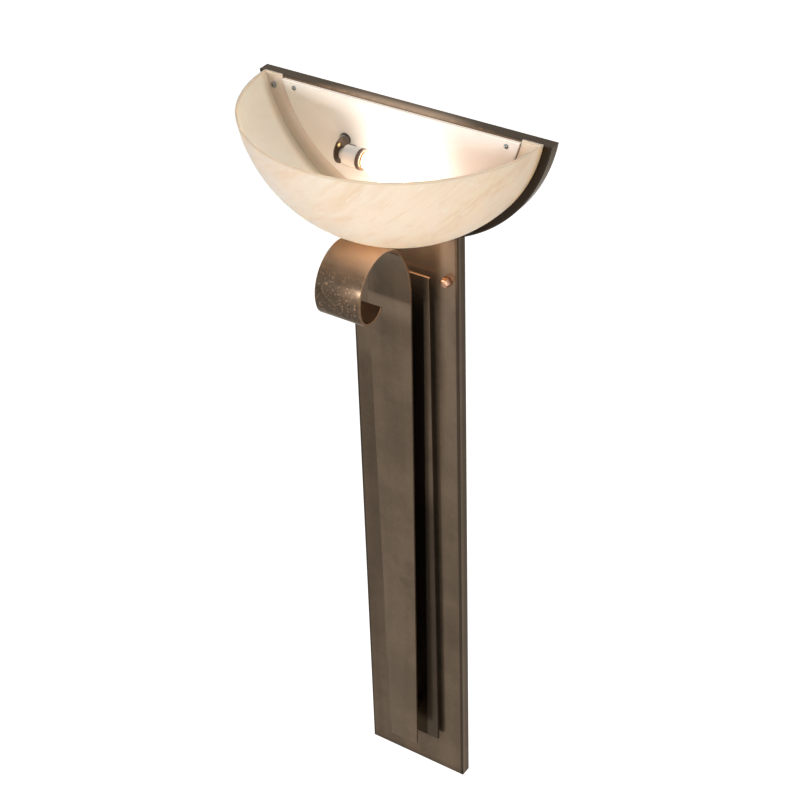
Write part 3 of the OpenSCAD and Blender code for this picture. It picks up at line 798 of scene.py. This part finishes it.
def path(name, points):
    """A chain of edges through points, in millimetres."""
    bpy.ops.mesh.primitive_plane_add(size=0.001)
    piece = started(name)
    editing(piece)
    bpy.ops.mesh.merge(type="CENTER")
    bpy.ops.transform.translate(value=[p * MM for p in points[0]])
    for here, there in zip(points, points[1:]):
        drawn(*(b - a for a, b in zip(here, there)))
    done()
    return piece


def bent_wire(name, points):
    """A round wire along points, its corners bent round."""
    piece = path(name, points)
    modified(piece, "BEVEL", affect="VERTICES", width=LEAD_BEND * MM, segments=8, limit_method="NONE",
             use_clamp_overlap=True)
    only(piece)
    bpy.ops.object.convert(target="CURVE")
    piece = bpy.context.active_object
    piece.data.bevel_depth = LEAD_R * MM
    piece.data.bevel_resolution = 3
    piece.data.use_fill_caps = True
    bpy.ops.object.convert(target="MESH")
    piece = bpy.context.active_object
    piece.name = piece.data.name = name
    outward_normals(piece)
    smoothed(piece, 40)
    return piece


def wire_nut(name, x, upside_down):
    """A ribbed twist-on connector, hollow at its mouth."""
    tip, mouth, wall, hollow = 3.8, 5.5, 1.6, 9.0
    middle = (x, WIRE_NUT_Y, WIRE_NUT_Z + WIRE_NUT_L / 2)
    bpy.ops.mesh.primitive_cone_add(vertices=36, radius1=tip * MM, radius2=mouth * MM, depth=WIRE_NUT_L * MM,
                                    location=[m * MM for m in middle])
    piece = started(name)
    pick(piece, lambda m, v: round(math.degrees(math.atan2(m.y - WIRE_NUT_Y, m.x - x)) / 10) % 3 == 0)
    resized(0.9, 0.9, 1, centre=(x, WIRE_NUT_Y, 0))
    pick(piece, lambda m, f: f.normal.z > 0.9, "FACE")
    bpy.ops.mesh.inset(thickness=wall * MM)
    drawn(0, 0, -hollow)
    resized(0.6, 0.6, 1)
    done()
    if upside_down:
        turned(piece, 180, "X", middle)
        outward_normals(piece)
    rounded(piece, 0.35, segments=2, angle=25, smooth=40)
    return piece


# Lamp holder and lamp base

def along_lamp(piece, reach):
    """Lays a piece that stands on the origin along the lamp's axis, from reach past the holder's back."""
    laid = Matrix.Translation(Vector((HOLDER_X + reach, LAMP_Y, LAMP_Z)) * MM)
    piece.matrix_world = laid @ Matrix.Rotation(math.radians(90), 4, "Y")
    return settled(piece)


def round_bar(name, radius, low, high, vertices=64, caps="NGON"):
    """A round bar along z between two heights, on the origin."""
    bpy.ops.mesh.primitive_cylinder_add(vertices=vertices, radius=radius * MM, depth=(high - low) * MM,
                                        location=(0, 0, (low + high) / 2 * MM), end_fill_type=caps)
    return started(name)


def thread(name, crest, depth, pitch, length, wall):
    """A rolled thread standing on the origin, its ends cut square."""
    root, flank = crest - depth, crest - depth / 2
    piece = path(name, [(root, 0, -pitch), (flank, 0, -pitch * 0.84), (crest, 0, -pitch * 0.62),
                        (crest, 0, -pitch * 0.45), (flank, 0, -pitch * 0.22), (root, 0, 0)])
    modified(piece, "SCREW", axis="Z", angle=math.radians(360), screw_offset=pitch * MM,
             iterations=math.ceil(length / pitch) + 2, steps=40, render_steps=40,
             use_merge_vertices=True, merge_threshold=0.00001)
    editing(piece)
    cut_level(0, clear_inner=True)
    bpy.ops.mesh.select_all(action="SELECT")
    cut_level(length, clear_outer=True)
    done()
    outward_normals(piece)
    if sum(f.normal.dot(f.center * Vector((1, 1, 0))) for f in piece.data.polygons) < 0:
        flipped(piece)
    modified(piece, "SOLIDIFY", thickness=wall * MM, offset=-1.0)
    smoothed(piece, 50)
    return piece


def porcelain_holder():
    """The glazed body: a cup with a rolled mouth and a short neck at its back."""
    radius, bore, floor = 16.5, 14.05, 5.0
    neck_r, neck_l = 9.0, 9.0
    piece = round_bar("holder_glazed", radius, 0, HOLDER_L)
    pick(piece, lambda m, f: f.normal.z < -0.9, "FACE")
    bpy.ops.mesh.inset(thickness=(radius - neck_r) * MM)
    drawn(0, 0, -neck_l)
    pick(piece, lambda m, f: f.normal.z > 0.9, "FACE")
    bpy.ops.mesh.inset(thickness=(radius - bore) * MM)
    drawn(0, 0, floor - HOLDER_L)
    done()
    rounded(piece, 1.1, segments=4)
    return along_lamp(piece, 0)


def holder_ring():
    """The brown ring round the holder's mouth, its outer corners rolled over."""
    radius, bore, length, roll = 17.2, 14.05, 6.5, 0.9
    piece = round_bar("holder_ring_moulded", radius, 0, length)
    modified(piece, "BEVEL", width=roll * MM, segments=3, limit_method="ANGLE", angle_limit=math.radians(50))
    for way in (-1, 1):
        pick(piece, lambda m, f: f.normal.z * way > 0.9, "FACE")
        bpy.ops.mesh.inset(thickness=(radius - roll - bore) * MM)
    pick(piece, lambda m, f: abs(f.normal.z) > 0.9 and math.hypot(m.x, m.y) < 1, "FACE")
    bpy.ops.mesh.bridge_edge_loops()
    done()
    outward_normals(piece)
    smoothed(piece, 40)
    return along_lamp(piece, HOLDER_L)


def holder_shell():
    """The threaded copper shell, with its lip rolled out over the ring."""
    lip_r, roll_r, bore = 15.35, 15.1, 13.7
    low, high, sheet = 27.55, 27.85, 0.25
    piece = thread("holder_shell_rolled", crest=13.75, depth=0.28, pitch=3.6, length=29.1, wall=sheet)
    lip = round_bar("rim", lip_r, low, high, vertices=96, caps="NOTHING")
    pick(lip, lambda m, e: m.z > high - 0.01, "EDGE")
    drawn(0, 0, sheet)
    resized(roll_r / lip_r, roll_r / lip_r, 1)
    drawn(0, 0, 0)
    resized(bore / roll_r, bore / roll_r, 1)
    done()
    outward_normals(lip)
    modified(lip, "SOLIDIFY", thickness=sheet * MM, offset=-1.0)
    smoothed(lip, 50)
    only(piece)
    lip.select_set(True)
    bpy.ops.object.join()
    return along_lamp(piece, SHELL_START)


def lamp_screw_base():
    """The lamp's rolled screw base."""
    piece = thread("lamp_base_rolled", crest=13.1, depth=0.7, pitch=3.63, length=22.0, wall=0.3)
    return along_lamp(piece, BASE_START)


# The scene

bpy.context.scene.view_settings.view_transform = "Standard"
camera()
pale_world()
area_light("key", place=(-0.42, -3.3, 0.7), aim=(0, 0, -0.3), size=(0.4, 0.4), power=47)
area_light("side", place=(2.6, -1.2, 0.8), aim=(0, 0, -0.3), size=(1.4, 2.2), power=32)
area_light("top", place=(0, -0.9, 2.4), aim=(0, -0.1, 0.2), size=(1.6, 1.2), power=7)
area_light("bowl_glow", place=(0.0, -0.055, 0.071), aim=(0.0, -0.022, 0.0), size=(0.16, 0.025), power=0.11,
           colour=(1.0, 0.86, 0.72), hidden=True)
pale_floor()

FINISHES = {
    "bronze": bronze("rubbed_bronze"),
    "column": bronze("column_bronze", dark=column_shade_and_patina, copper=column_painted_bowl_light, bright=column_painted_reflection),
    "head": bronze("head_bronze", dark=head_rim_shade_and_dark_top, copper=head_painted_edge_light, bright=head_painted_lamplight),
    # The bar's whole tone is dimmed by a fifth as painted shade, for the strap's dark reflection over it
    "bar": bronze("bar_bronze", light=0.8, dark=bar_painted_shade, copper=bar_painted_edge_light, painted_shadow=bar_painted_strap_shadow),
    "scroll": bronze("scroll_bronze", dark=scroll_darkening_and_shadow, copper=scroll_copper_and_painted_light, bright=scroll_painted_highlight,
                     flecks=scroll_flecks),
    "screw": plain_metal("screw_zinc", (0.24, 0.26, 0.27), rough=0.22),
    "copper": plain_metal("nut_copper", (0.50, 0.29, 0.19), rough=0.36, stain=(0.45, 0.40, 0.36)),
    "zinc": plain_metal("zinc_plate", (0.42, 0.46, 0.50), rough=0.26),
    "brass": plain_metal("lacquered_brass", (0.70, 0.50, 0.22), stain=(0.7, 0.65, 0.55)),
    "umber": plain_metal("bracket_bronze", (0.075, 0.047, 0.027), rough=0.36, stain=(0.5, 0.5, 0.5),
                         metallic=0.6),
    "shell": plain_metal("shell_copper", (0.72, 0.42, 0.26), rough=0.25, stain=(0.7, 0.6, 0.5)),
    "ring": plain_coat("brown_ring", (0.13, 0.070, 0.042), rough=0.35),
    "enamel": enamel(),
    "porcelain": plain_coat("porcelain_glaze", (0.93, 0.89, 0.82), rough=0.16, depth=0.95, coat=0.6),
    "black": plain_coat("black_sleeve", (0.022, 0.022, 0.022), rough=0.45, depth=0.7),
    "white": plain_coat("white_sleeve", (0.75, 0.74, 0.72), rough=0.45),
    "green": plain_metal("green_screw", (0.06, 0.28, 0.10), rough=0.35),
    "alabaster": alabaster(),
    "glass": lit_glass(),
    "tungsten": plain_metal("tungsten", (0.35, 0.34, 0.33), rough=0.4),
}

CARRIED = {
    "column": ("column_pan",),
    "head": ("head_face", "head_band"),
    "bronze": ("bar_spacers", "strap_spacers"),
    "zinc": ("splice_plate", "strap_studs", "strap_washers", "strap_nuts", "mounting_studs", "stud_nuts",
             "shade_washers", "nipple", "lock_washer", "wall_crossbar", "nipple_nuts"),
    "brass": ("terminal_screw", "socket_contact", "lamp_tip"),
    "black": ("lamp_insulator",),
    "green": ("ground_screw",),
    "glass": ("lamp_glass",),
    "tungsten": ("lamp_filament",),
}

LEADS = {
    "black": ("black_lead", "black_wire", [(-77.5, -65.3, 202.7), (-87.5, -65.3, 202.7), (-95.3, -48.8, 203),
                                           (-95.3, -14, 203), (-95.3, -8, 197), (-78.3, -8, 155.1),
                                           (0, -8, 72), (0, -8, 47)]),
    "white": ("white_lead", "white_wire", [(-77.5, -68.7, 199.3), (-87.5, -68.7, 199.3), (-98.7, -48.8, 203),
                                           (-98.7, -14, 203), (-98.7, -8, 197), (-81.7, -8, 144.9),
                                           (-30, -8, 72), (-30, -8, 47)]),
    "shell": ("ground_lead", "bare_wire", [(25.3, -4.25, -3.9), (25.3, -4.25, 16.4), (30, -8, 32.2),
                                           (30, -8, 49)]),
}


def dressed(piece, finish, node, body="fixture"):
    """Gives a piece its finish and its body, and hides the CAD node that it stands for."""
    piece.data.materials.clear()
    piece.data.materials.append(FINISHES[finish])
    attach(piece, body)
    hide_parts(node)


for finish, nodes in CARRIED.items():
    for node in nodes:
        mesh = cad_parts[node].data
        mesh.materials.clear()
        mesh.materials.append(FINISHES[finish])

dressed(strap(), "scroll", "scroll_strap")
dressed(bar(), "bar", "middle_bar")
dressed(half_bowl(), "alabaster", "shade")
first_nut = cap_nut()
second_nut = copied(first_nut, "cap_nut_crowned_left")
shifted(second_nut, (-2 * CAP_NUT_X, 0, 0))
for nut in (first_nut, second_nut):
    dressed(nut, "copper", "cap_nuts")
dressed(softened("reflector", "reflector_rolled", 0.5, 3), "enamel", "reflector")
dressed(softened("shade_screws", "shade_screws_turned", 0.25), "screw", "shade_screws")
dressed(softened("reflector_screws", "reflector_screws_turned", 0.25), "screw", "reflector_screws")
dressed(softened("socket_bracket", "bracket_pressed", 0.35, 3), "umber", "socket_bracket")
dressed(porcelain_holder(), "porcelain", "socket_body")
dressed(holder_ring(), "ring", "socket_ring")
dressed(holder_shell(), "shell", "socket_shell")
dressed(lamp_screw_base(), "brass", "lamp_base", body="lamp")
for finish, (node, slot, points) in LEADS.items():
    dressed(bent_wire(node + "_drawn", points), finish, node)
for side, way, upside_down in (("right", 1, True), ("middle", 0, False), ("left", -1, False)):
    connector = wire_nut("wire_nut_" + side, way * WIRE_NUT_PITCH, upside_down)
    dressed(connector, "black", "wire_nuts")
